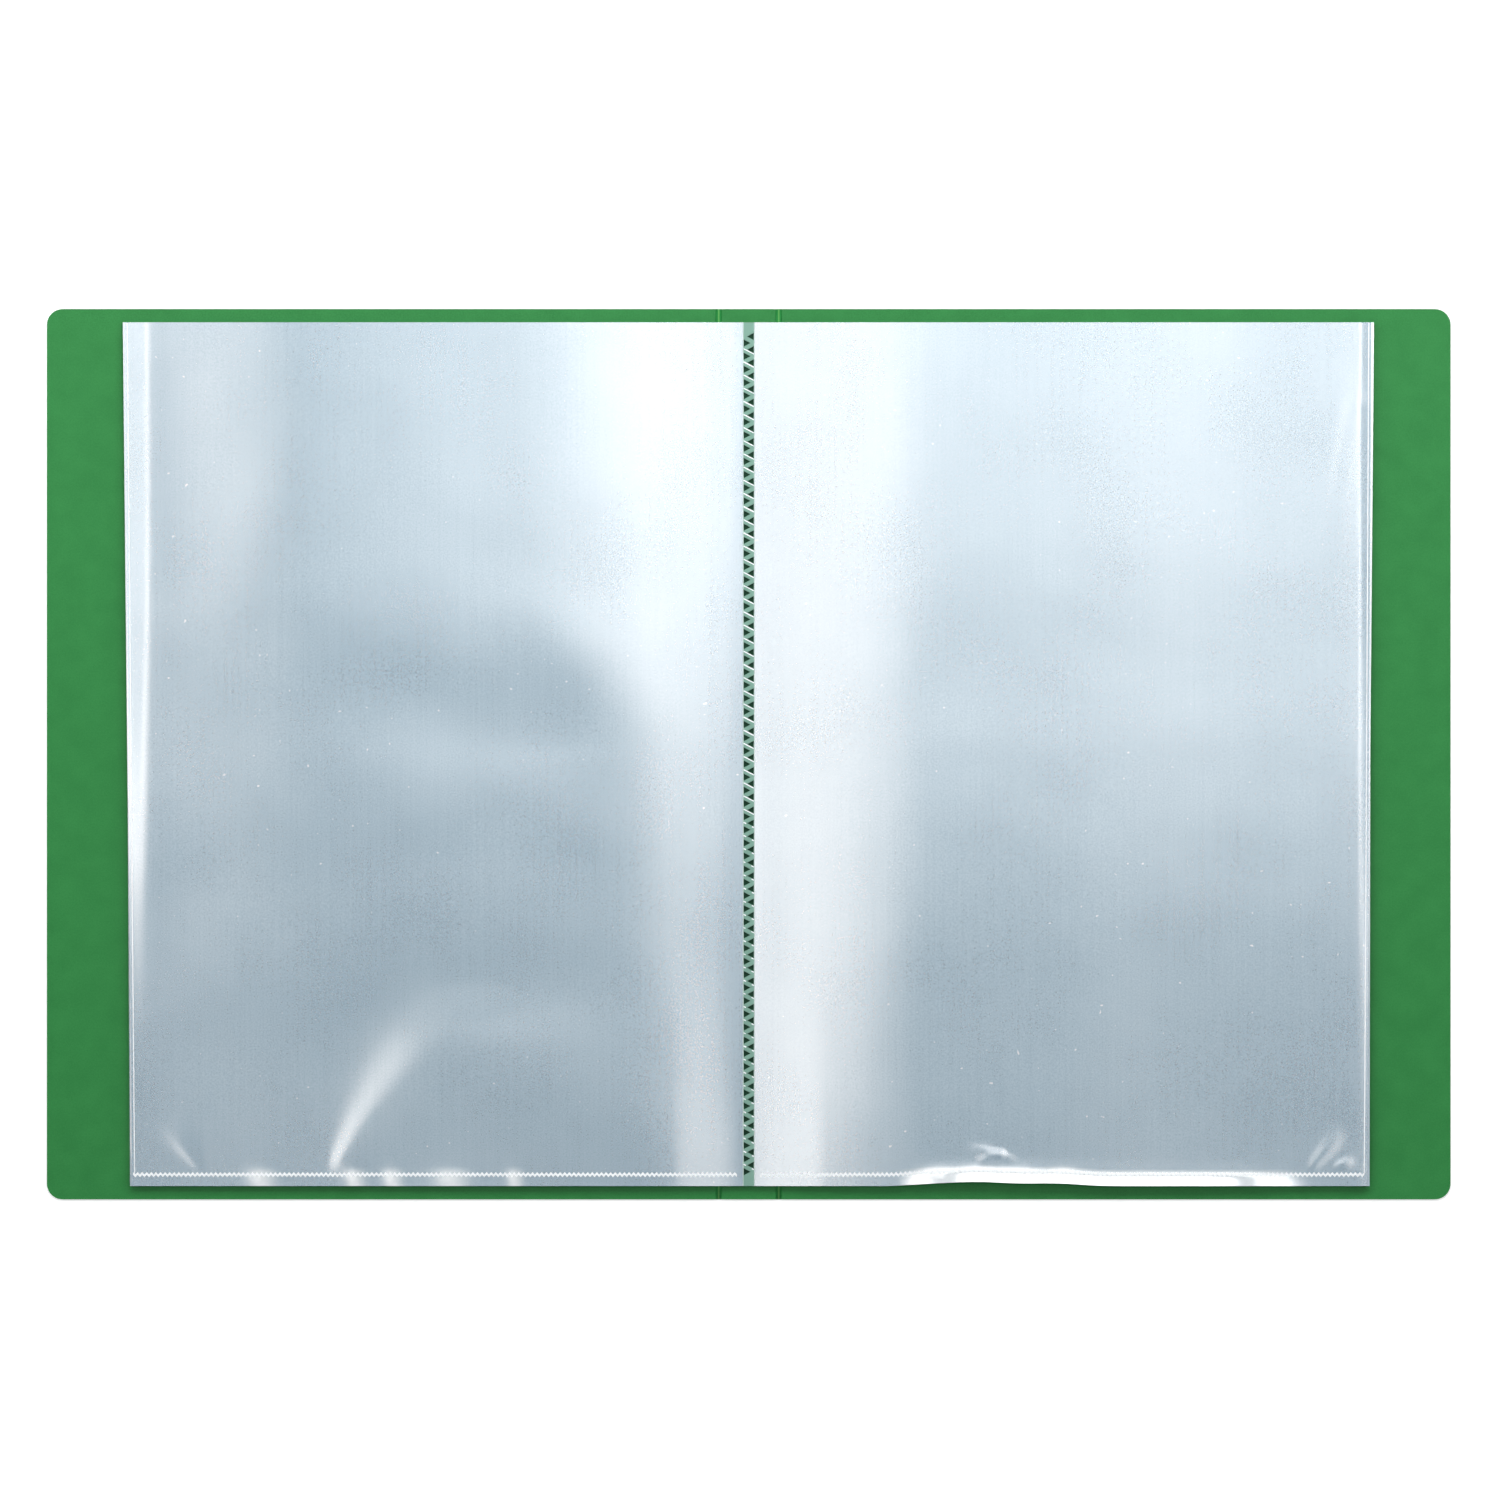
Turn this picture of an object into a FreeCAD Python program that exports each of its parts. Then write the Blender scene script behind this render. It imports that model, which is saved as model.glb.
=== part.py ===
import FreeCAD, Part
import os

import Sketcher

# A display book lying open at its middle: one creased cover sheet, clear pockets on both sides,
# and one patterned weld that holds every pocket to the spine.
# Origin: centre of the spine's underside. X runs across the open book, Y up the page, Z out of it.

SIZES = {
    # the paper that a pocket takes, and the room around it
    "sheet_width": 210,
    "sheet_height": 297,
    "side_room": 4.0,
    "mouth_room": 0.5,
    # pockets
    "pocket_count": 10,
    "film_thick": 0.05,
    "slot_gap": 0.12,
    "leaf_gap": 0.02,
    "root_gap": 0.05,
    "bottom_flange": 3.5,
    "bottom_weld": 1.0,
    "side_weld": 0.8,
    # cover sheet
    "cover_margin": 4.7,
    "cover_overhang": 28.5,
    "cover_thick": 0.6,
    "corner_radius": 5.5,
    "spine_width": 21,
    "crease_width": 1.6,
    "web_thick": 0.25,
    # weld along the spine
    "seam_width": 4.2,
    "seam_border": 0.35,
    "pit_pitch": 4.6,
    "pit_base": 2.2,
    "pit_reach": 2.1,
    "pit_floor": 0.4,
    "pit_end_margin": 2.0,
}

# Sizes and places that several pieces share, worked out from the driving dimensions.
POCKET_WIDTH = "(sizes.sheet_width + sizes.side_room + sizes.side_weld)"
POCKET_HEIGHT = "(sizes.sheet_height + sizes.mouth_room + sizes.bottom_flange + sizes.bottom_weld)"
POCKET_LOW = f"(-{POCKET_HEIGHT} / 2)"
PITCH = "(2 * sizes.film_thick + sizes.slot_gap + sizes.leaf_gap)"
STACK = f"(sizes.pocket_count * {PITCH})"
ROOT = "(sizes.seam_width / 2 + sizes.root_gap)"
COVER_HEIGHT = f"({POCKET_HEIGHT} + 2 * sizes.cover_margin)"
COVER_LOW = f"(-{COVER_HEIGHT} / 2)"
CREASE_EDGE = "(sizes.spine_width / 2 + sizes.crease_width / 2)"
SPINE_EDGE = "(sizes.spine_width / 2 - sizes.crease_width / 2)"
OUTER_EDGE = f"({ROOT} + {POCKET_WIDTH} + sizes.cover_overhang)"

doc = FreeCAD.newDocument("display_book")
sheet = doc.addObject("Spreadsheet::Sheet", "sizes")
for row, (alias, amount) in enumerate(SIZES.items(), start=1):
    sheet.set(f"A{row}", alias)
    sheet.set(f"B{row}", str(amount))
    sheet.setAlias(f"B{row}", alias)
doc.recompute()

nodes = []


def value(formula):
    return float(sheet.evalExpression(formula))


def near(first, second):
    return abs(first - second) < 1e-4


def bind(thing, **formulas):
    """Tie properties to formulas; a double underscore in a keyword stands for a dot."""
    for name, formula in formulas.items():
        thing.setExpression(name.replace("__", "."), formula)


def new_body(label):
    body = doc.addObject("PartDesign::Body", label)
    body.Label = label
    nodes.append(body)
    return body


def new_sketch(body, name, x, y, z):
    """A sketch parallel to the body's XY plane, with its origin at three formulas."""
    sketch = body.newObject("Sketcher::SketchObject", name)
    plane = next(p for p in body.Origin.OriginFeatures if p.Role == "XY_Plane")
    sketch.AttachmentSupport = [(plane, "")]
    sketch.MapMode = "FlatFace"
    bind(sketch, AttachmentOffset__Base__x=x, AttachmentOffset__Base__y=y, AttachmentOffset__Base__z=z)
    return sketch


def add_polygon(sketch, corners):
    """A closed outline; each corner is a pair of formulas, or None where it lies on an axis."""
    first = sketch.GeometryCount
    count = len(corners)
    rough = [FreeCAD.Vector(3 * i, i * i, 0) for i in range(count)]
    for i in range(count):
        sketch.addGeometry(Part.LineSegment(rough[i], rough[(i + 1) % count]))
    for i, (across, along) in enumerate(corners):
        line = first + i
        follower = first + (i + 1) % count
        sketch.addConstraint(Sketcher.Constraint("Coincident", line, 2, follower, 1))
        for formula, kind, axis in ((across, "DistanceX", -2), (along, "DistanceY", -1)):
            if formula is None:
                sketch.addConstraint(Sketcher.Constraint("PointOnObject", line, 1, axis))
            else:
                index = sketch.addConstraint(Sketcher.Constraint(kind, -1, 1, line, 1, 1.0))
                sketch.setExpression(f"Constraints[{index}]", formula)


def add_plate(body, left, low, level, width, height, thick):
    """A rectangular pad, with its lowest corner and its three sizes given as formulas."""
    sketch = new_sketch(body, f"{body.Name}_outline", left, low, level)
    add_polygon(sketch, [(None, None), (width, None), (width, height), (None, height)])
    pad = body.newObject("PartDesign::Pad", f"{body.Name}_pad")
    pad.Profile = sketch
    bind(pad, Length=thick)
    doc.recompute()
    return pad


def edges_along(feature, axis, test):
    """Names of the straight edges along an axis whose middles pass a test."""
    found = []
    for number, edge in enumerate(feature.Shape.Edges, start=1):
        run = edge.Vertexes[-1].Point - edge.Vertexes[0].Point
        if near(run.cross(axis).Length, 0) and test(edge.CenterOfMass):
            found.append(f"Edge{number}")
    return found


def bevel_crease_edges(body, base, places):
    """Slope the upper edge beside each crease down to the thin web."""
    top = base.Shape.BoundBox.ZMax
    chamfer = body.newObject("PartDesign::Chamfer", f"{body.Name}_bevel")
    edges = edges_along(
        base,
        FreeCAD.Vector(0, 1, 0),
        lambda p: near(p.z, top) and any(near(p.x, place) for place in places),
    )
    chamfer.Base = (base, edges)
    bind(chamfer, Size="sizes.cover_thick - sizes.web_thick")
    doc.recompute()


def make_cover_panel(label, side):
    """One cover board, with rounded outer corners and a bevel along its crease."""
    body = new_body(label)
    left = f"-{OUTER_EDGE}" if side < 0 else CREASE_EDGE
    width = f"{OUTER_EDGE} - {CREASE_EDGE}"
    pad = add_plate(body, left, COVER_LOW, "0", width, COVER_HEIGHT, "sizes.cover_thick")
    outer = side * value(OUTER_EDGE)
    fillet = body.newObject("PartDesign::Fillet", f"{label}_corners")
    fillet.Base = (pad, edges_along(pad, FreeCAD.Vector(0, 0, 1), lambda p: near(p.x, outer)))
    bind(fillet, Radius="sizes.corner_radius")
    doc.recompute()
    bevel_crease_edges(body, fillet, [side * value(CREASE_EDGE)])


def make_spine_panel():
    """The strip between the two creases."""
    body = new_body("spine_panel")
    width = f"2 * {SPINE_EDGE}"
    pad = add_plate(body, f"-{SPINE_EDGE}", COVER_LOW, "0", width, COVER_HEIGHT, "sizes.cover_thick")
    edge = value(SPINE_EDGE)
    bevel_crease_edges(body, pad, [-edge, edge])


def make_box(name, x, y, z, length, width, height):
    """A block whose lowest corner and three sizes are formulas."""
    box = doc.addObject("Part::Box", name)
    box.Label = name
    bind(box, Placement__Base__x=x, Placement__Base__y=y, Placement__Base__z=z)
    bind(box, Length=length, Width=width, Height=height)
    return box


def make_crease(label, side):
    """The thin web of the living hinge, between a cover board and the spine."""
    left = f"-{CREASE_EDGE}" if side < 0 else SPINE_EDGE
    web = make_box(label, left, COVER_LOW, "0", "sizes.crease_width", COVER_HEIGHT, "sizes.web_thick")
    nodes.append(web)


def make_spine_weld():
    """The pressed weld: two columns of triangular pits, half a pitch apart, with ridges between."""
    body = new_body("spine_weld")
    left = "-sizes.seam_width / 2"
    pad = add_plate(body, left, POCKET_LOW, "sizes.cover_thick", "sizes.seam_width", POCKET_HEIGHT, STACK)
    end_room = "(2 * sizes.pit_end_margin + sizes.pit_base + sizes.pit_pitch / 2)"
    steps = int(value(f"({POCKET_HEIGHT} - {end_room}) / sizes.pit_pitch"))
    lowest = f"-({steps} * sizes.pit_pitch + sizes.pit_pitch / 2 + sizes.pit_base) / 2"
    sketch = new_sketch(body, "pit_outlines", left, lowest, f"sizes.cover_thick + {STACK}")
    far = "sizes.seam_width - sizes.seam_border"
    half = "sizes.pit_pitch / 2"
    left_pit = [
        ("sizes.seam_border", None),
        ("sizes.seam_border + sizes.pit_reach", "sizes.pit_base / 2"),
        ("sizes.seam_border", "sizes.pit_base"),
    ]
    right_pit = [
        (far, half),
        (far, f"{half} + sizes.pit_base"),
        (f"{far} - sizes.pit_reach", f"{half} + sizes.pit_base / 2"),
    ]
    add_polygon(sketch, left_pit)
    add_polygon(sketch, right_pit)
    depth = f"{STACK} - sizes.pit_floor"
    pits = body.newObject("PartDesign::Pocket", "pits")
    pits.Profile = sketch
    bind(pits, Length=depth)
    doc.recompute()
    columns = body.newObject("PartDesign::LinearPattern", "pit_columns")
    columns.Originals = [pits]
    columns.Direction = (sketch, ["V_Axis"])
    columns.Occurrences = steps + 1
    bind(columns, Length=f"{steps} * sizes.pit_pitch")
    body.Tip = columns
    doc.recompute()
    expected = (steps + 1) * value(f"sizes.pit_base * sizes.pit_reach * ({depth})")
    assert near(pad.Shape.Volume - body.Shape.Volume, expected), "the pits are not all cut"


def make_pocket(side_name, side, number):
    """Two clear films, closed along the bottom and the outer edge and open at the top."""
    name = f"{side_name}_pocket_{number:02d}"
    back_level = f"sizes.cover_thick + sizes.leaf_gap + (sizes.pocket_count - {number}) * {PITCH}"
    slot_level = f"{back_level} + sizes.film_thick"
    front_level = f"{slot_level} + sizes.slot_gap"
    inner_width = f"({POCKET_WIDTH} - sizes.side_weld)"
    left = f"-({ROOT} + {POCKET_WIDTH})" if side < 0 else ROOT
    slot_left = f"-({ROOT} + {inner_width})" if side < 0 else ROOT
    edge_left = left if side < 0 else f"{ROOT} + {inner_width}"
    weld_low = f"{POCKET_LOW} + sizes.bottom_flange"
    edge_height = f"{POCKET_HEIGHT} - sizes.bottom_flange"

    film = (POCKET_WIDTH, POCKET_HEIGHT, "sizes.film_thick")
    bottom = (inner_width, "sizes.bottom_weld", "sizes.slot_gap")
    edge = ("sizes.side_weld", edge_height, "sizes.slot_gap")
    front = make_box(f"{name}_front_film", left, POCKET_LOW, front_level, *film)
    welded = doc.addObject("Part::Compound", f"{name}_back_film")
    welded.Label = f"{name}_back_film"
    welded.Links = [
        make_box(f"{name}_back_sheet", left, POCKET_LOW, back_level, *film),
        make_box(f"{name}_bottom_weld", slot_left, weld_low, slot_level, *bottom),
        make_box(f"{name}_side_weld", edge_left, weld_low, slot_level, *edge),
    ]
    nodes.extend([front, welded])


def export_nodes():
    """Check every object and every node's shape, then write one file for each node."""
    doc.recompute()
    for thing in doc.Objects:
        if "Invalid" in thing.State or "Error" in thing.State:
            raise RuntimeError(f"{thing.Label} did not build: {thing.State}")
    for node in nodes:
        if node.Shape.isNull() or not node.Shape.isValid() or not node.Shape.Solids:
            raise RuntimeError(f"{node.Label} has no valid solid")
    os.makedirs("parts", exist_ok=True)
    for node in nodes:
        node.Shape.exportStep(f"parts/{node.Label}.step")


make_cover_panel("front_cover_panel", -1)
make_spine_panel()
make_cover_panel("back_cover_panel", 1)
make_crease("front_crease", -1)
make_crease("back_crease", 1)
make_spine_weld()
for side_name, side in (("left", -1), ("right", 1)):
    for number in range(1, int(value("sizes.pocket_count")) + 1):
        make_pocket(side_name, side, number)
export_nodes()
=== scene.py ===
import bmesh
import bpy
import math
from mathutils import Matrix, Vector, noise
from mathutils.bvhtree import BVHTree


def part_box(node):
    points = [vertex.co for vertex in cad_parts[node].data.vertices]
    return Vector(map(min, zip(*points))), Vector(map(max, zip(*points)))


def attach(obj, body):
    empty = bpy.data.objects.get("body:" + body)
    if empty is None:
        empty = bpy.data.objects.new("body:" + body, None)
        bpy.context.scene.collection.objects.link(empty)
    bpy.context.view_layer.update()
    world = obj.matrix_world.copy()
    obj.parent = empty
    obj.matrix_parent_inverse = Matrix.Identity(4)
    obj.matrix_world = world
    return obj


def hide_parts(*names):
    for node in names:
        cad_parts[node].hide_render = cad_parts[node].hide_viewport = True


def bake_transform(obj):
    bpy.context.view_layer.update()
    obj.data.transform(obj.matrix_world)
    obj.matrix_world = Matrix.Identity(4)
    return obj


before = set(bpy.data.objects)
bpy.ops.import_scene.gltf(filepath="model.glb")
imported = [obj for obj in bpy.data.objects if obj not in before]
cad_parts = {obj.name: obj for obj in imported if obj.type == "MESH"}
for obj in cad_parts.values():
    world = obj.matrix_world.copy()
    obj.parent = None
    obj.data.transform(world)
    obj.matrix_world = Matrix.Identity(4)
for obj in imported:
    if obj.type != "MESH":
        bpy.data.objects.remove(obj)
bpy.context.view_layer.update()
scene = bpy.context.scene
scene.view_settings.view_transform = "Standard"
mm = 0.001
sides = {"left": -1, "right": 1}
boards = {"left": "front", "right": "back"}
pocketCount = len([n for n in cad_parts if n.startswith("left_pocket") and n.endswith("front_film")])
looseCount = 2  # pockets a side that lift off the stack
weldLineCount = 3  # pockets a side that show their weld lines
print("frame loaded,", len(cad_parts), "nodes,", pocketCount, "pockets a side")


# small sums that several shapes use

def swell(value, low, high):  # 0 below low, 1 above high, eased between
    t = min(max((value - low) / (high - low), 0.0), 1.0)
    return t * t * (3 - 2 * t)


def between(first, last, share):
    return first + (last - first) * share


# camera, straight above the open book

photoView = {
    "frameWidth": 524.6 * mm,
    "height": 22.0,
    "centre": (0.44 * mm, 1.47 * mm),
    "sensor": 36.0,
}

cameraData = bpy.data.cameras.new("photoCamera")
cameraData.sensor_width = photoView["sensor"]
cameraData.clip_end = 2 * photoView["height"]
cameraData.lens = photoView["sensor"] * photoView["height"] / photoView["frameWidth"]
camera = bpy.data.objects.new("photoCamera", cameraData)
camera.location = (*photoView["centre"], photoView["height"])
scene.collection.objects.link(camera)
scene.camera = camera
print("camera set at", photoView["height"], "m")


# node trees written as sums

class Wire:
    def __init__(self, tree, socket=None):
        self.tree = tree
        self.socket = socket

    def node(self, kind, settings=None, sockets=None, output=0):
        made = self.tree.nodes.new("ShaderNode" + kind)
        for key, value in (settings or {}).items():
            setattr(made, key, value)
        for key, value in (sockets or {}).items():
            if isinstance(value, Wire):
                self.tree.links.new(value.socket, made.inputs[key])
            else:
                made.inputs[key].default_value = value
        return Wire(self.tree, made.outputs[output]) if len(made.outputs) else made

    def sum(self, operation, first, second=0.0, clamp=False):
        return self.node("Math", {"operation": operation, "use_clamp": clamp}, {0: first, 1: second})

    def __add__(self, other):
        return self.sum("ADD", self, other)

    __radd__ = __add__

    def __sub__(self, other):
        return self.sum("SUBTRACT", self, other)

    def __rsub__(self, other):
        return self.sum("SUBTRACT", other, self)

    def __mul__(self, other):
        return self.sum("MULTIPLY", self, other)

    __rmul__ = __mul__

    def size(self):
        return self.sum("ABSOLUTE", self)

    def ease(self, low, high):  # 0 below low, 1 above high
        return self.node(
            "MapRange",
            {"interpolation_type": "SMOOTHSTEP"},
            {"Value": self, "From Min": low, "From Max": high, "To Min": 0.0, "To Max": 1.0},
        )

    def tint(self, first, second):  # first colour at 0, second at 1
        settings = {"data_type": "RGBA", "blend_type": "MIX", "clamp_factor": True}
        return self.node("Mix", settings, {0: self, 6: first, 7: second}, 2)


def startFinish(name):
    material = bpy.data.materials.new(name)
    material.use_nodes = True
    material.node_tree.nodes.clear()
    wire = Wire(material.node_tree)
    place = wire.node("TexCoord", output="Object")
    return material, wire, place


def speckle(wire, place, grain, detail=2.0, rough=0.5):  # noise of one size, or of a size for each axis
    if isinstance(grain, tuple):
        place = wire.node("Mapping", {}, {"Vector": place, "Scale": tuple(1 / g for g in grain)})
        scale = 1.0
    else:
        scale = 1 / grain
    return wire.node("TexNoise", {}, {"Vector": place, "Scale": scale, "Detail": detail, "Roughness": rough})


def axis(wire, place, letter):
    return wire.node("SeparateXYZ", {}, {"Vector": place}, letter)


def relief(wire, height, strength, distance):
    return wire.node("Bump", {}, {"Strength": strength, "Distance": distance, "Height": height})


def endFinish(wire, shader):
    wire.node("OutputMaterial", {}, {"Surface": shader})


# green cover sheet: sand-grained polypropylene

coverLook = {
    "light": (0.022, 0.224, 0.048, 1),
    "dark": (0.012, 0.178, 0.034, 1),
    "stressAndSheen": (0.14, 0.42, 0.11, 1),  # paler where the sheet is creased: stress whitening and a painted highlight
    "stressAndSheenShare": 0.75,
    "grain": 0.55 * mm,
    "mottle": 9 * mm,
    "toneShares": (0.65, 0.35),  # grain, mottle
    "toneRange": (0.3, 0.7),
    "rough": (0.42, 0.12),  # least, and what the grain adds
    "relief": (0.35, 0.05 * mm),
    "ior": 1.49,
    "specular": 0.25,
    "creaseAt": 10.5 * mm,
    "creaseFade": (0.10 * mm, 0.35 * mm),
}


def makeCoverFinish():
    look = coverLook
    material, wire, place = startFinish("greenCover")
    grain = speckle(wire, place, look["grain"], 3.0, 0.6)
    mottle = speckle(wire, place, look["mottle"], 4.0)
    tone = (grain * look["toneShares"][0] + mottle * look["toneShares"][1]).ease(*look["toneRange"])
    off = (axis(wire, place, "X").size() - look["creaseAt"]).size()
    # pale line at each crease: stress whitening together with a painted highlight
    stressAndSheen = 1 - off.ease(*look["creaseFade"])
    plain = tone.tint(look["dark"], look["light"])
    shader = wire.node("BsdfPrincipled", {}, {
        "Base Color": (stressAndSheen * look["stressAndSheenShare"]).tint(plain, look["stressAndSheen"]),
        "Roughness": look["rough"][0] + grain * look["rough"][1],
        "IOR": look["ior"],
        "Specular IOR Level": look["specular"],
        "Normal": relief(wire, grain, *look["relief"]),
    })
    endFinish(wire, shader)
    return material


# clear hazy film of the pockets

filmLook = {
    "clear": (0.238, 0.400, 0.510, 1),
    "hazy": (0.299, 0.461, 0.571, 1),
    "cloud": 46 * mm,
    "streak": (1.1 * mm, 90 * mm, 40 * mm),
    "grain": 0.5 * mm,
    "toneShares": (0.4, 0.15, 0.45),  # cloud, streak, grain
    "toneRange": (0.3, 0.7),
    "reliefShares": (0.7, 0.3),  # streak, grain
    "relief": (0.006, 0.08 * mm),
    "dust": 1.3 * mm,
    "dustRange": (0.85, 0.89),
    "dustShare": 0.5,
    "speckAndSheen": (0.9, 0.95, 0.97, 1),  # dust, and film whitened by the weld, with a painted highlight on it
    "rough": (0.115, 0.05),
    "alpha": {"loose": 0.62, "stacked": 0.78},
    "alphaMore": (0.1, 0.25),  # what haze and the whitening with painted highlight add
    "gloss": 3.35,
}


def makeFilmFinish(kind):
    look = filmLook
    material, wire, place = startFinish(f"{kind}Film")
    cloud = speckle(wire, place, look["cloud"], 3.0)
    streak = speckle(wire, place, look["streak"], 3.0, 0.6)
    grain = speckle(wire, place, look["grain"], 2.0)
    ofCloud, ofStreak, ofGrain = look["toneShares"]
    tone = (cloud * ofCloud + streak * ofStreak + grain * ofGrain).ease(*look["toneRange"])
    height = streak * look["reliefShares"][0] + grain * look["reliefShares"][1]
    dust = speckle(wire, place, look["dust"], 0.0).ease(*look["dustRange"])
    # weld whitening on the film, partly a painted highlight on the puckers and the flange
    weldWhiteAndSheen = wire.node("Attribute", {"attribute_name": "weldWhiteAndSheen"}, output="Fac")
    plain = tone.tint(look["clear"], look["hazy"])
    shader = wire.node("BsdfPrincipled", {}, {
        "Base Color": (dust * look["dustShare"] + weldWhiteAndSheen).tint(plain, look["speckAndSheen"]),
        "Roughness": look["rough"][0] + grain * look["rough"][1],
        "IOR": look["gloss"],
        "Alpha": look["alpha"][kind] + tone * look["alphaMore"][0] + weldWhiteAndSheen * look["alphaMore"][1],
        "Normal": relief(wire, height, *look["relief"]),
    })
    endFinish(wire, shader)
    return material


# film pressed and melted: weld lines and the lattice on the spine

weldLook = {
    "line": (0.95, 0.97, 0.98, 1),
    "lineShade": (0.84, 0.88, 0.90, 1),
    "lineRough": (0.35, 0.1),
    "lineRelief": (0.2, 0.05 * mm),
    "bar": (0.20, 0.36, 0.29, 1),
    "pitShade": (0.004, 0.055, 0.024, 1),
    "rim": (0.62, 0.72, 0.70, 1),
    "rimShares": (0.7, 0.3),  # least, and what the grain adds
    "latticeRough": (0.30, 0.15),
    "latticeRelief": (0.25, 0.06 * mm),
    "latticeSpecular": 0.12,
    "grain": 0.35 * mm,
    "barRange": (2.55 * mm, 2.9 * mm),  # heights at which the pits, painted in dark shade, end and the bars begin
    "rimRange": (1.70 * mm, 2.0 * mm),
}


# colour of the weld lines, also worn by the white beads on the spine lattice, which are painted highlights
def makeWeldLineFinish():
    look = weldLook
    material, wire, place = startFinish("weldLineAndHighlight")
    grain = speckle(wire, place, look["grain"], 2.0)
    shader = wire.node("BsdfPrincipled", {}, {
        "Base Color": grain.tint(look["lineShade"], look["line"]),
        "Roughness": look["lineRough"][0] + grain * look["lineRough"][1],
        "Normal": relief(wire, grain, *look["lineRelief"]),
    })
    endFinish(wire, shader)
    return material


def makeLatticeFinish():
    look = weldLook
    material, wire, place = startFinish("spineWeld")
    grain = speckle(wire, place, look["grain"], 2.0)
    tall = axis(wire, place, "Z").ease(*look["barRange"])
    rim = axis(wire, place, "X").size().ease(*look["rimRange"])
    top = (rim * (look["rimShares"][0] + grain * look["rimShares"][1])).tint(look["bar"], look["rim"])
    shader = wire.node("BsdfPrincipled", {}, {
        # below the bars the pits are painted in dark shade
        "Base Color": tall.tint(look["pitShade"], top),
        "Roughness": look["latticeRough"][0] + grain * look["latticeRough"][1],
        "Specular IOR Level": look["latticeSpecular"],
        "Normal": relief(wire, grain, *look["latticeRelief"]),
    })
    endFinish(wire, shader)
    return material


coverFinish = makeCoverFinish()
filmFinish = {kind: makeFilmFinish(kind) for kind in filmLook["alpha"]}
weldAndHighlightFinish = makeWeldLineFinish()
latticeFinish = makeLatticeFinish()
for board in ("front_cover_panel", "spine_panel", "back_cover_panel"):
    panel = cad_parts[board]
    panel.data.materials.clear()
    panel.data.materials.append(coverFinish)
print("finishes made")


def finishPiece(bm, name, material, smooth=True):
    mesh = bpy.data.meshes.new(name)
    for face in bm.faces:
        face.smooth = smooth
    bm.to_mesh(mesh)
    bm.free()
    mesh.materials.append(material)
    piece = bpy.data.objects.new(name, mesh)
    scene.collection.objects.link(piece)
    return piece


def roundEdges(bm, edges, offset):
    bmesh.ops.bevel(bm, geom=edges, offset=offset, segments=2, profile=0.5, affect="EDGES",
                    material=-1, offset_type="OFFSET", clamp_overlap=True)


# thin bending webs between the spine and the boards

creaseShape = {"cuts": 11, "dip": 0.07 * mm, "shortest": 0.5 * mm}


def makeCreaseWeb(side):
    board = boards[side]
    low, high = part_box(f"{board}_crease")
    bm = bmesh.new()
    bmesh.ops.create_cube(bm, size=1.0)
    bmesh.ops.scale(bm, vec=high - low, verts=bm.verts)
    bmesh.ops.translate(bm, vec=(low + high) / 2, verts=bm.verts)
    across = [e for e in bm.edges if abs(e.verts[0].co.x - e.verts[1].co.x) > creaseShape["shortest"]]
    bmesh.ops.subdivide_edges(bm, edges=across, cuts=creaseShape["cuts"], use_grid_fill=True)
    for vert in bm.verts:  # a shallow groove along the top
        share = (vert.co.x - low.x) / (high.x - low.x)
        if vert.co.z > (low.z + high.z) / 2:
            vert.co.z -= creaseShape["dip"] * math.sin(math.pi * share)
    web = finishPiece(bm, f"{board}_crease_web", coverFinish)
    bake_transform(web)
    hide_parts(f"{board}_crease")


for side in sides:
    makeCreaseWeb(side)
print("crease webs made")


# the weld on the spine: a lattice of bars round two staggered columns of triangular pits

latticeShape = {
    "pitch": 4.6 * mm,
    "pitBase": 2.45 * mm,
    "pitReach": 2.3 * mm,
    "border": 0.35 * mm,
    "end": 2.0 * mm,
    "round": 0.12 * mm,
    "shownDepth": 1.1 * mm,
    "slack": 0.01 * mm,
}


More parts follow.
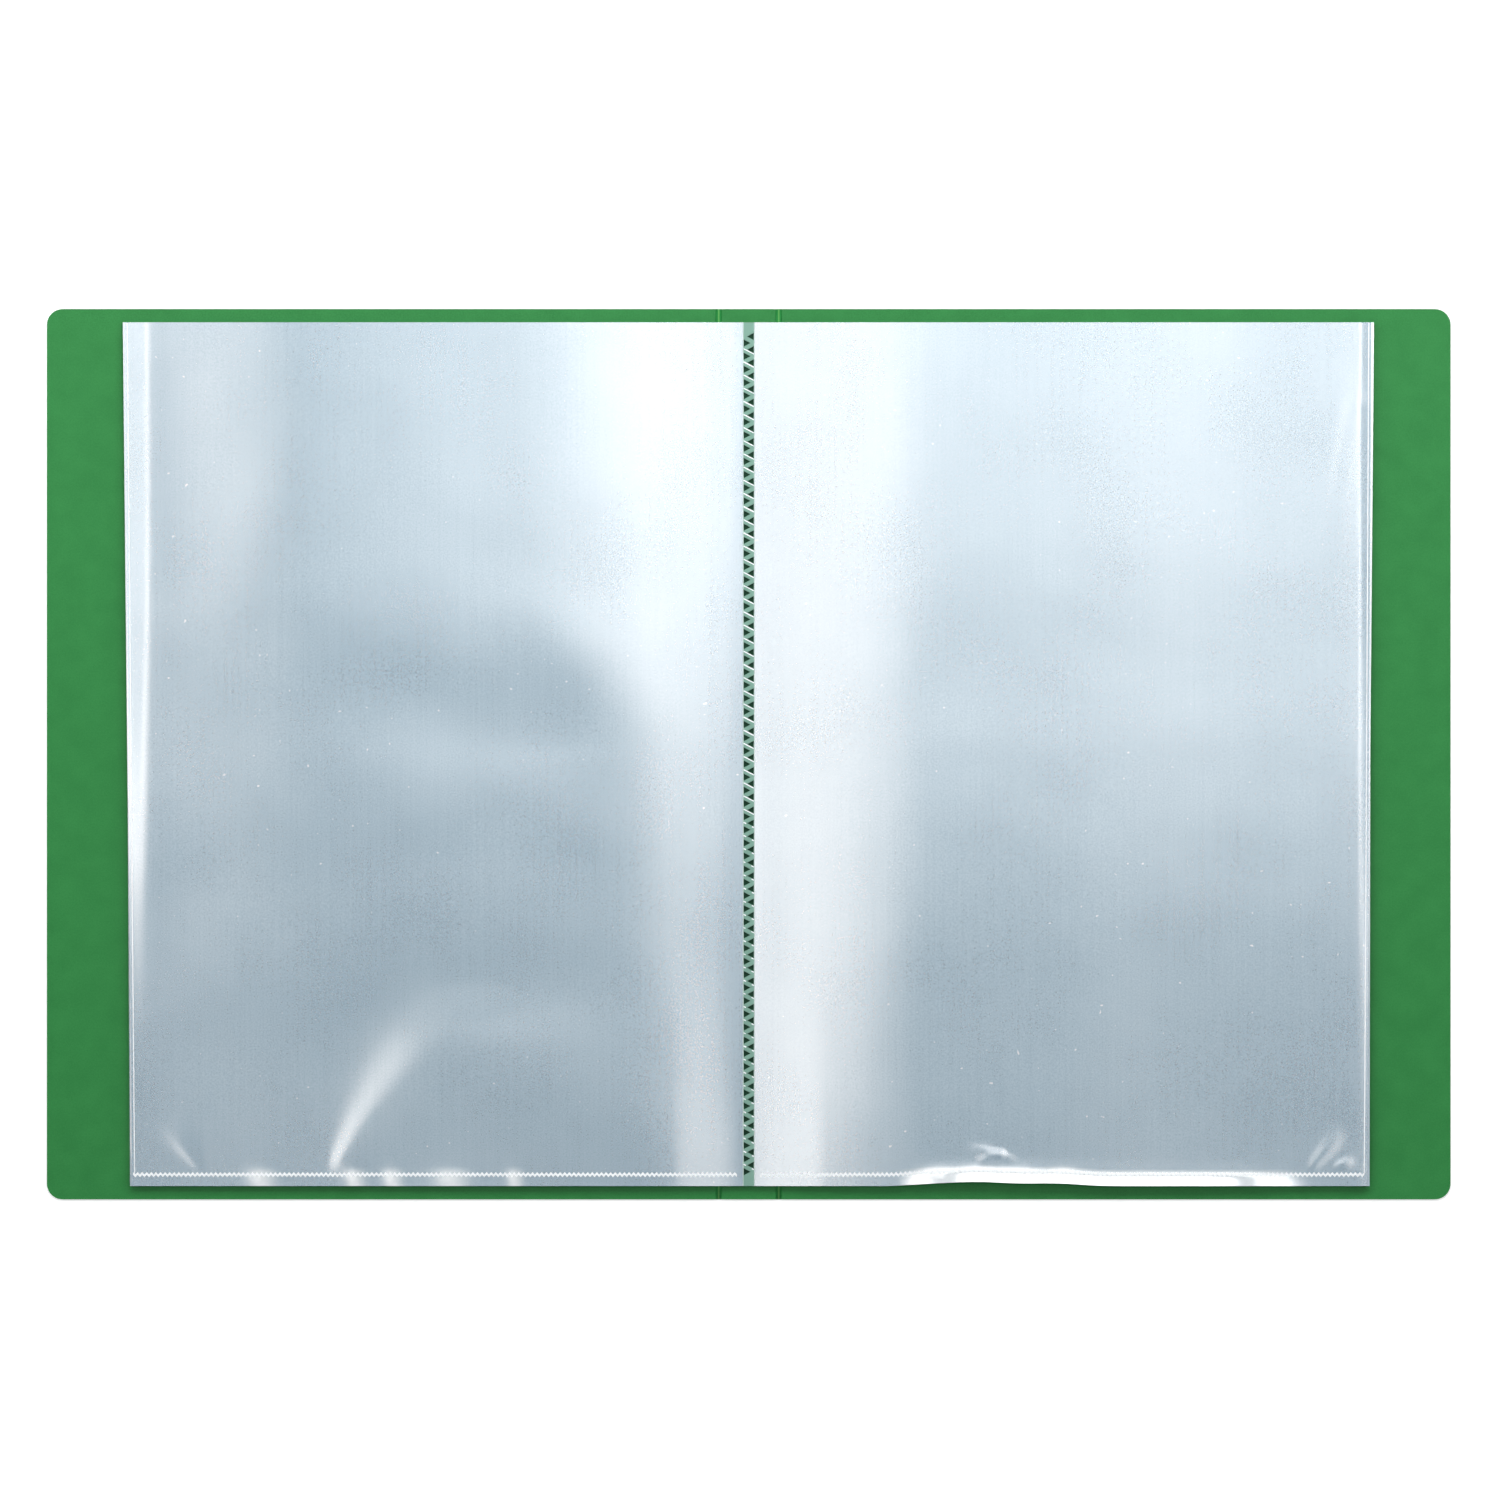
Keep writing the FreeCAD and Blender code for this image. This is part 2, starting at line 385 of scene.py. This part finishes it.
def makeLattice():
    shape = latticeShape
    low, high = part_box("spine_weld")
    top, half = high.z, high.x
    pitch, base, reach = shape["pitch"], shape["pitBase"], shape["pitReach"]
    edge = half - shape["border"]
    cells = int((high.y - low.y - 2 * shape["end"] - base - pitch / 2) / pitch) + 1
    start = -((cells - 1) * pitch + pitch / 2 + base) / 2
    bm = bmesh.new()
    corner = {}

    def spot(x, y):
        key = (round(x / mm, 4), round(y / mm, 4))
        if key not in corner:
            corner[key] = bm.verts.new((x, y, top))
        return corner[key]

    faces = []
    for cell in range(cells):  # bars and borders of one repeat, with both pits left open
        y = start + cell * pitch
        mid = y + pitch / 2
        nextY = y + pitch
        nextMid = mid + pitch
        leftPit = [(-edge, y), (-edge + reach, y + base / 2), (-edge, y + base)]
        rightPit = [(edge, mid), (edge, mid + base), (edge - reach, mid + base / 2)]
        nextTip = (-edge + reach, nextY + base / 2)
        faces += [
            [(-half, y), leftPit[0], leftPit[2], (-half, y + base)],
            [(edge, mid), (half, mid), (half, mid + base), (edge, mid + base)],
            [leftPit[1], rightPit[0], rightPit[2], leftPit[2]],
        ]
        if cell < cells - 1:
            faces += [
                [(-half, y + base), leftPit[2], (-edge, nextY), (-half, nextY)],
                [(edge, mid + base), (half, mid + base), (half, nextMid), (edge, nextMid)],
                [rightPit[2], rightPit[1], nextTip, (-edge, nextY)],
                [leftPit[2], rightPit[2], (-edge, nextY)],
                [rightPit[1], (edge, nextMid), nextTip],
            ]
    first, last = start, start + (cells - 1) * pitch  # plain ends above and below the pits
    firstMid, lastTop = start + pitch / 2, last + pitch / 2 + base
    tip = (-edge + reach, first + base / 2)
    faces += [
        [(-half, low.y), (half, low.y), (half, firstMid), (edge, firstMid), tip,
         (-edge, first), (-half, first)],
        [(-half, last + base), (-edge, last + base), (edge - reach, lastTop - base / 2), (edge, lastTop),
         (half, lastTop), (half, high.y), (-half, high.y)],
    ]
    for face in faces:
        bm.faces.new([spot(*p) for p in face])
    bmesh.ops.recalc_face_normals(bm, faces=bm.faces)
    for face in bm.faces:
        if face.normal.z < 0:
            face.normal_flip()
    depth = shape["shownDepth"]
    rims = [e for e in bm.edges if e.is_boundary]
    within = half - shape["slack"]
    pitRims = [e for e in rims if all(abs(v.co.x) < within and low.y < v.co.y < high.y for v in e.verts)]
    wall = bmesh.ops.extrude_edge_only(bm, edges=rims)["geom"]
    wallFoot = [g for g in wall if isinstance(g, bmesh.types.BMVert)]
    bmesh.ops.translate(bm, vec=(0, 0, -depth), verts=wallFoot)
    roundEdges(bm, [e for e in pitRims if e.is_valid], shape["round"])
    floor = bmesh.ops.create_cube(bm, size=1.0)["verts"]
    thick = top - low.z - depth
    bmesh.ops.scale(bm, vec=(high.x - low.x, high.y - low.y, thick), verts=floor)
    bmesh.ops.translate(bm, vec=(0, 0, low.z + thick / 2), verts=floor)
    bmesh.ops.recalc_face_normals(bm, faces=bm.faces)
    lattice = finishPiece(bm, "spine_weld_lattice", latticeFinish, smooth=False)
    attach(lattice, "spine")
    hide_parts("spine_weld")
    return [start + cell * pitch for cell in range(cells)]


# raised white ridges along the bars, painted highlights on the bar edges, most of them whole in the upper
# part and broken below

beadShape = {
    "broad": 0.42 * mm,
    "tall": 0.16 * mm,
    "drop": (0.73 * mm, 0.30 * mm),  # below the left pit's foot and the right pit's
    "past": 0.05 * mm,
    "wholeFrom": -20 * mm,
    "leastJitter": -0.45,
    "stubs": (0.22, 0.78),  # where a broken bead stops and starts again
    "stubJitter": 0.1,
    "broadJitter": 0.4,
    "roundShare": 0.4,
    "noise": (7 * mm, 2.2),
}


def makeBeads(pitFeet):
    shape = beadShape
    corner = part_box("spine_weld")[1]
    edge = corner.x - latticeShape["border"] + shape["past"]
    bm = bmesh.new()
    for foot in pitFeet[1:]:
        jitter = noise.noise(Vector((foot / shape["noise"][0], shape["noise"][1], 0)))
        start = Vector((-edge, foot - shape["drop"][0]))
        end = Vector((edge, foot - latticeShape["pitch"] / 2 - shape["drop"][1]))
        if foot > shape["wholeFrom"] and jitter > shape["leastJitter"]:
            runs = [(0.0, 1.0)]
        else:
            stop, again = (stub + shape["stubJitter"] * jitter for stub in shape["stubs"])
            runs = [(0.0, stop), (again, 1.0)]
        for first, last in runs:
            near, far = start.lerp(end, first), start.lerp(end, last)
            middle, run = (near + far) / 2, far - near
            turn = Matrix.Rotation(math.atan2(run.y, run.x), 4, "Z")
            place = Matrix.Translation((middle.x, middle.y, corner.z)) @ turn
            broad = shape["broad"] * (1 + shape["broadJitter"] * jitter)
            size = Matrix.Diagonal((run.length, broad, shape["tall"], 1))
            bmesh.ops.create_cube(bm, size=1.0, matrix=place @ size)
    roundEdges(bm, list(bm.edges), shape["tall"] * shape["roundShare"])
    # white beads standing for painted highlights on the bar edges
    beads = finishPiece(bm, "spine_weld_highlight_beads", weldAndHighlightFinish)
    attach(beads, "spine")


makeBeads(makeLattice())
print("spine weld made")


# pocket films: sheets held at the weld, swelling between it and their other welds

filmShape = {
    "fine": (240, 300),
    "plain": (48, 60),
    "columns": (0.45, 0.55),  # closer together near the weld
    "half": 0.025 * mm,
    "hinge": 2.12 * mm,
    "gather": 14 * mm,
    "rootStep": 0.01 * mm,  # between one film and the next at the weld
    "flange": 3.5 * mm,
    "weld": 1.0 * mm,
    "fan": (0.45, 2.4),  # how far the lower films' edges stray, in mm, and how fast from one to the next
    "leanStray": (0.6, 1.7),
}

# Each page in mm: u runs from the weld to the outer edge, v from the middle (0) up the page.
# slope, fall, edgeBand and edgeHold have a value for the foot and one for the mouth.
# fallFrom is a range of u, and wave a length along u and one along v.
pageShape = {
    "left": {
        "slope": (0.0235, 0.030),  # beside the weld, growing and fading between the stops
        "footStops": (-8, 10, 22, 44), "mouthStops": (-4, 4, 36, 80),
        "tail": 0.006, "tailStops": (40, 60, 100, 150),
        "fall": (0.15, 0.35), "fallFrom": (150, 214),
        "lean": 1.3,
        "wave": (95, 34), "waveRise": 0.14, "rippleRise": 0.03, "seed": 3.7, "stray": 0.24,
        "edgeBand": (6.5, 8.5), "edgeHold": (1.0, 0.40),
        "footLift": (60, 200, 0.4),
        "folds": [
            {"pinch": (146.1, -148.2), "end": (80, -66), "steep": (0.068, 0.028), "width": (0.6, 26),
             "gentle": 3.0, "bow": 7.9, "fade": (0.45, 1.0)},
            {"pinch": (190.5, -146), "end": (208, -128), "steep": (0.05, 0.05), "width": (0.5, 4),
             "gentle": 2.0, "bow": 0, "fade": (0.2, 0.9)},
        ],
        "puckers": [
            (168.6, 0.10, 4.6), (136, 0.08, 3.2), (122.7, 0.08, 3.0), (101.8, 0.10, 5.6), (80, 0.06, 2.6),
        ],
    },
    "right": {
        "slope": (0.038, 0.040),
        "footStops": (-3, 0, 18, 68), "mouthStops": (-3, 0, 20, 80),
        "tail": 0.0, "tailStops": (40, 60, 100, 150),
        "fall": (0.2, 0.35), "fallFrom": (90, 180),
        "lean": 0.8,
        "wave": (40, 120), "waveRise": 0.06, "rippleRise": 0.02, "seed": 9.2, "stray": 0.10,
        "edgeBand": (3, 3.5), "edgeHold": (0.97, 0.55),
        "footLift": (80, 214, 0.35),
        "folds": [
            {"pinch": (208, 128), "end": (199, 62), "steep": (0.03, 0.03), "width": (3, 5),
             "gentle": 1.5, "bow": 2, "fade": (0.4, 1)},
            {"pinch": (92, -142.5), "end": (72, -137.5), "steep": (0.09, 0.09), "width": (0.6, 2.0),
             "gentle": 1.6, "bow": 1, "fade": (0.5, 1)},
            {"pinch": (88, -139.5), "end": (76, -142), "steep": (0.12, 0.12), "width": (0.8, 1.6),
             "gentle": 1.6, "bow": -0.5, "fade": (0.5, 1)},
            {"pinch": (195.5, -145.5), "end": (209, -131.5), "steep": (0.09, 0.075), "width": (1.0, 3.4),
             "gentle": 1.6, "bow": 0.5, "fade": (0.4, 1)},
            {"pinch": (203.5, -144.8), "end": (211, -143.8), "steep": (0.12, 0.12), "width": (0.7, 1.8),
             "gentle": 1.6, "bow": 0, "fade": (0.5, 1)},
        ],
        "puckers": [(64, 0.10, 6.0), (78, 0.12, 7.0), (92, 0.10, 7.0), (108, 0.06, 5.0)],
        "flangeLift": (50, 196, 1.5),  # the flange curls up here, is whitened and painted with a highlight, and its edge is drawn up
        "flangeWhiteAndSheen": (48, 196, 0.9),
        "footShift": (46, 66, 94, 128, 1.2),
    },
}
swelling = {  # what both pages share, in mm where it is a length
    "upRange": (0.8, 0.9),  # shares of half the height, below and above the middle
    "slopeRange": (0.9, 0.5),
    "strayRun": 55,
    "ripple": (26, 21),
    "body": (0.10, 0.02),  # usual and least
    "bodyRange": (4, 60),
    "edgeStart": 1,
    "edgeFade": 0.45,
    "footHold": (0.75, 90),
    "footLiftRange": (60, 145),
    "footLiftIn": 25,
}
footLook = {  # along the bottom weld, in mm where it is a length
    "puckerTall": 2.8,
    # whitening with a painted highlight, at the puckers and on the flange
    "spotWhiteAndSheen": 0.8,
    "spotRange": (3.4, 7.2),
    "flangeRange": (4.4, 5.6),
    "whiteEnds": (14, 20),
    "curl": 4.4,
    "curlStops": (0, 1.0, 90, 91),
    "curlEnds": (30, 40),
    "shiftRipple": (0.22, 5.5),
    "shiftTop": 45,
}
foldShape = {"lean": 0.7, "open": 0.08, "ease": 0.4, "pinchFade": 0.12}


def climbed(u, stops):  # height gained where the slope grows over two stops and fades over the next two
    def gained(low, high):
        return (min(max(u, low), high) - low) ** 2 / (2 * (high - low)) + max(u - high, 0)
    return gained(*stops[:2]) - gained(*stops[2:])


def foldRise(u, v, fold):  # a cone-shaped fold from a pinch, steep on one side and gentle on the other
    pinch, end = Vector(fold["pinch"]), Vector(fold["end"])
    run = end - pinch
    away = Vector((u, v)) - pinch
    share = away.dot(run) / run.length_squared
    if not 0 < share < 1:
        return 0.0
    width = between(*fold["width"], share)
    bowed = fold["bow"] * 4 * share * (1 - share)
    off = (away.x * run.y - away.y * run.x) / run.length - bowed + foldShape["lean"] * width
    side = width if off > 0 else fold["gentle"] * width
    fade = swell(share, 0, foldShape["open"]) * (1 - swell(share, *fold["fade"]))
    near, far = fold["steep"]
    steep = far * (1 - foldShape["ease"] * share) + (near - far) * math.exp(-share / foldShape["pinchFade"])
    return steep * width * fade * math.exp(-(off / side) ** 2)


def puckerRise(u, up, pucker):  # small swelling where the bottom weld gathers the film
    place, rise, wide = pucker
    off = up - filmShape["flange"] / mm
    return rise * math.exp(-((u - place) / wide) ** 2 - (off / footLook["puckerTall"]) ** 2)


def whiteningAndSheen(page, u, up):  # how far the weld has whitened the film, with a painted highlight on the puckers and the flange, 0 to 1
    look = footLook
    spots = sum(
        look["spotWhiteAndSheen"] * math.exp(-((u - place) / wide) ** 2) for place, rise, wide in page["puckers"]
    )
    whiteAndSheen = spots * (1 - swell(up, *look["spotRange"]))
    if "flangeWhiteAndSheen" in page:
        first, last, strength = page["flangeWhiteAndSheen"]
        near, far = look["whiteEnds"]
        ends = swell(u, first, first + near) * (1 - swell(u, last - far, last))
        whiteAndSheen += strength * ends * (1 - swell(up, *look["flangeRange"]))
    return min(whiteAndSheen, 1.0)


def flangeRise(page, u, up):  # the flange below the bottom weld, curling up
    if "flangeLift" not in page:
        return 0.0
    look = footLook
    first, last, lift = page["flangeLift"]
    ends = swell(u, first, first + look["curlEnds"][0]) * (1 - swell(u, last - look["curlEnds"][1], last))
    return lift * ends * climbed(look["curl"] - up, look["curlStops"]) / look["curl"]


def footShift(page, u, up):  # the lower edge drawn up a little
    if "footShift" not in page:
        return 0.0
    first, top, drop, last, shift = page["footShift"]
    size, run = footLook["shiftRipple"]
    ripple = 1 + size * math.sin(u / run)
    ends = swell(u, first, top) * (1 - swell(u, drop, last))
    return shift * ripple * ends * (1 - swell(up, 0, footLook["shiftTop"]))


def pageRise(page, u, v, width, height):  # broad swelling of the page above its flat level
    look = swelling
    foot, mouth = -height / 2, height / 2
    up = swell(v, foot * look["upRange"][0], mouth * look["upRange"][1])
    stray = 1 + page["stray"] * noise.noise(Vector((v / look["strayRun"], page["seed"], 0.5)))
    stops = [between(a, b, up) * stray for a, b in zip(page["footStops"], page["mouthStops"])]
    start = climbed(0, stops)
    slope = between(*page["slope"], swell(v, foot * look["slopeRange"][0], mouth * look["slopeRange"][1]))
    tail = page["tail"] * swell(v, foot, 0)
    seam = slope * (climbed(u, stops) - start) + tail * climbed(u, page["tailStops"])
    seam *= 1 - between(*page["fall"], up) * swell(u, *page["fallFrom"])
    wave = noise.noise(Vector((u / page["wave"][0], v / page["wave"][1], page["seed"])))
    ripple = noise.noise(Vector((u / look["ripple"][0], v / look["ripple"][1], page["seed"] + 5)))
    usual, least = look["body"]
    body = max(usual + page["waveRise"] * wave + page["rippleRise"] * ripple, least)
    body *= swell(u, *look["bodyRange"])
    band = between(*page["edgeBand"], up)
    edgeStops = (0, look["edgeStart"], look["edgeFade"] * band, band)
    edge = climbed(width - u, edgeStops) / climbed(band, edgeStops)
    footHold, footReach = look["footHold"]
    hold = between(between(*page["edgeHold"], up), 1, edge)
    hold *= between(footHold, 1, swell(v, foot, foot + footReach))
    left, right, lift = page["footLift"]
    raised = lift * swell(-v, *look["footLiftRange"]) * swell(u, 0, look["footLiftIn"])
    return (seam + body) * hold + raised * (1 - swell(u, left, right))


def makeFilm(side, number, kind, rank):
    page, shape, sign = pageShape[side], filmShape, sides[side]
    name = f"{side}_pocket_{number:02d}_{kind}_film"
    low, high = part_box(name)
    width = (high.x - low.x) / mm
    height = (high.y - low.y) / mm
    level = high.z - shape["half"] if kind == "front" else low.z + shape["half"]
    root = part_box("spine_weld")[1].z - shape["rootStep"] * (2 * pocketCount - 1 - rank)
    detailed = number == 1 and kind == "front"
    columns, rows = shape["fine"] if detailed else shape["plain"]
    even, spread = shape["columns"]
    share = (rank + 1) / (2 * pocketCount)  # upper films swell more than lower ones
    fan, lean = 0.0, page["lean"]
    if number > 1:
        fan = shape["fan"][0] * math.sin(number * shape["fan"][1] + sign)
        lean += shape["leanStray"][0] * math.sin(number * shape["leanStray"][1])
    bm = bmesh.new()
    whiteAndSheen = bm.verts.layers.float.new("weldWhiteAndSheen")
    bmesh.ops.create_grid(bm, x_segments=columns, y_segments=rows, size=0.5)
    for vert in bm.verts:
        t = vert.co.x + 0.5
        u = (even * t + spread * t * t) * width
        v = vert.co.y * height
        up = v + height / 2
        rise = pageRise(page, u, v, width, height) * share + flangeRise(page, u, up) * share ** 3
        if detailed:
            rise += sum(foldRise(u, v, fold) for fold in page["folds"])
            rise += sum(puckerRise(u, up, pucker) for pucker in page["puckers"])
            # weld whitening and painted highlight, kept for the film finish
            vert[whiteAndSheen] = whiteningAndSheen(page, u, up)
        rooted = 1 - swell(u, 0, shape["gather"] / mm)
        z = between(level, root, rooted) + rise * mm
        outward = t * (fan + lean * v / (height / 2))
        vert.co = (sign * (shape["hinge"] + (u + outward) * mm), (v + footShift(page, u, up)) * mm, z)
    if sign < 0:
        bmesh.ops.reverse_faces(bm, faces=bm.faces)
    finish = filmFinish["loose" if number <= looseCount else "stacked"]
    film = finishPiece(bm, name.replace("_film", "_sheet"), finish)
    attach(film, f"{side}_pocket_{number:02d}")
    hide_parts(name)
    return film, (width * mm, height * mm)


films = {}
for side in sides:
    for number in range(pocketCount, 0, -1):
        for step, kind in enumerate(("back", "front")):
            rank = 2 * (pocketCount - number) + step
            films[side, number, kind] = makeFilm(side, number, kind, rank)
    print(side, "pocket films made")


# zigzag weld along the bottom and plain weld along the outer edge of the upper pockets

weldShape = {
    "pitch": 1.6 * mm,
    "swing": 0.42 * mm,
    "line": 1.0 * mm,
    "ends": (2.0 * mm, 1.6 * mm),  # room left beside the spine and at the outer edge
    "edgeLine": 0.35 * mm,
    "edgeIn": 0.9 * mm,
    "edgeRows": 60,
    "mouthRoom": 0.2 * mm,
    "proud": 0.05 * mm,
    "castFrom": 0.1,
}


def surfaceAt(film):  # height of a film straight above or below a point
    tree = BVHTree.FromObject(film, bpy.context.evaluated_depsgraph_get())

    def height(x, y):
        hit = tree.ray_cast(Vector((x, y, weldShape["castFrom"])), Vector((0, 0, -1)))
        return hit[0].z if hit[0] else None
    return height


def makeWeldLines(side, number):
    page, sign, shape = pageShape[side], sides[side], weldShape
    pocket = f"{side}_pocket_{number:02d}"
    film, (width, tall) = films[side, number, "front"]
    height = surfaceAt(film)
    hinge, flange = filmShape["hinge"], filmShape["flange"]
    inner = hinge + shape["ends"][0]
    outer = hinge + width - shape["ends"][1]
    foot = -tall / 2 + flange + filmShape["weld"] / 2
    steps = int((outer - inner) / (shape["pitch"] / 2))
    bm = bmesh.new()
    for vert in bmesh.ops.create_grid(bm, x_segments=steps, y_segments=1, size=0.5)["verts"]:
        column = round((vert.co.x + 0.5) * steps)
        swing = shape["swing"] * (1 if column % 2 else -1)
        reach = between(inner, outer, column / steps)
        shift = footShift(page, (reach - hinge) / mm, flange / mm) * mm
        vert.co = (sign * reach, foot + shift + swing + vert.co.y * shape["line"], 0)
    lean = page["lean"] * mm if number == 1 else 0.0
    for vert in bmesh.ops.create_grid(bm, x_segments=1, y_segments=shape["edgeRows"], size=0.5)["verts"]:
        y = between(foot, tall / 2 - shape["mouthRoom"], vert.co.y + 0.5)
        rim = hinge + width - shape["edgeIn"] + lean * y / (tall / 2)
        vert.co = (sign * (rim + vert.co.x * shape["edgeLine"]), y, 0)
    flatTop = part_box(f"{pocket}_front_film")[1].z
    for vert in bm.verts:
        found = height(vert.co.x, vert.co.y)
        vert.co.z = (flatTop if found is None else found) + shape["proud"]
    lines = finishPiece(bm, f"{pocket}_weld_lines", weldAndHighlightFinish)
    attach(lines, pocket)
    return lines


for side in sides:
    for number in range(1, pocketCount + 1):
        lines = makeWeldLines(side, number) if number <= weldLineCount else None
print("weld lines made")


# floor, lamps and world

stageLook = {
    "floorDrop": 0.2 * mm,
    "floorSize": 6.0,
    "floorColour": (0.80, 0.80, 0.80, 1),
    "floorGlow": 0.45,
    "glowColour": (1, 1, 1, 1),
    "overhead": (0.16, 0.176, 0.19, 1),
    "horizon": (0.80, 0.84, 0.87, 1),
    "horizonTop": 0.85,
}
plainTint, warmTint, paleTint = (1.0, 1.0, 1.0), (1.0, 0.91, 0.85), (1.0, 0.96, 0.93)
lamps = {  # level boxes: reach along x and y, height, brightness, tint
    "headBox": ((-0.9, 0.9), (0.25, 1.00), 0.75, 3.1, plainTint),
    "skyBox": ((-0.14, 0.8), (0.0, 0.9), 3.0, 2.2, plainTint),
    "leftStrip": ((-4.6, -1.9), (-4.9, 5.6), 40.0, 3.7, warmTint),
    "leftOuter": ((-5.8, -1.15), (-0.45, 2.0), 10.0, 2.8, paleTint),
    "rightStrip": ((1.9, 4.6), (-4.9, 5.6), 40.0, 2.45, warmTint),
    "rightOuter": ((1.15, 5.8), (0.1, 2.0), 10.0, 2.2, paleTint),
}


def makeFloor():
    look = stageLook
    bm = bmesh.new()
    bmesh.ops.create_grid(bm, x_segments=1, y_segments=1, size=look["floorSize"] / 2)
    bmesh.ops.translate(bm, vec=(0, 0, -look["floorDrop"]), verts=bm.verts)
    material, wire = startFinish("paleFloor")[:2]
    plain = wire.node("BsdfDiffuse", {}, {"Color": look["floorColour"]})
    glow = wire.node("Emission", {}, {"Color": look["glowColour"], "Strength": look["floorGlow"]})
    shown = wire.node("AddShader", {}, {0: plain, 1: glow})
    rayKinds = ("Is Camera Ray", "Is Glossy Ray", "Is Transmission Ray")
    direct, glossy, through = [wire.node("LightPath", output=kind) for kind in rayKinds]
    seen = wire.sum("ADD", direct + glossy, through, clamp=True)
    endFinish(wire, wire.node("MixShader", {}, {0: seen, 1: plain, 2: shown}))
    floor = finishPiece(bm, "floor", material)


def makeLamp(name, alongX, alongY, height, bright, tint):
    data = bpy.data.lights.new(name, "AREA")
    data.shape = "RECTANGLE"
    data.size = alongX[1] - alongX[0]
    data.size_y = alongY[1] - alongY[0]
    data.energy = bright * math.pi * data.size * data.size_y
    data.color = tint
    lamp = bpy.data.objects.new(name, data)
    lamp.location = (sum(alongX) / 2, sum(alongY) / 2, height)
    scene.collection.objects.link(lamp)


def makeSky():
    world = bpy.data.worlds.new("studio")
    scene.world = world
    world.use_nodes = True
    world.node_tree.nodes.clear()
    wire = Wire(world.node_tree)
    height = axis(wire, wire.node("TexCoord", output="Generated"), "Z")
    sky = height.ease(0.0, stageLook["horizonTop"]).tint(stageLook["horizon"], stageLook["overhead"])
    wire.node("OutputWorld", {}, {"Surface": wire.node("Background", {}, {"Color": sky})})


makeSky()
makeFloor()
for name, look in lamps.items():
    makeLamp(name, *look)
print("stage set")
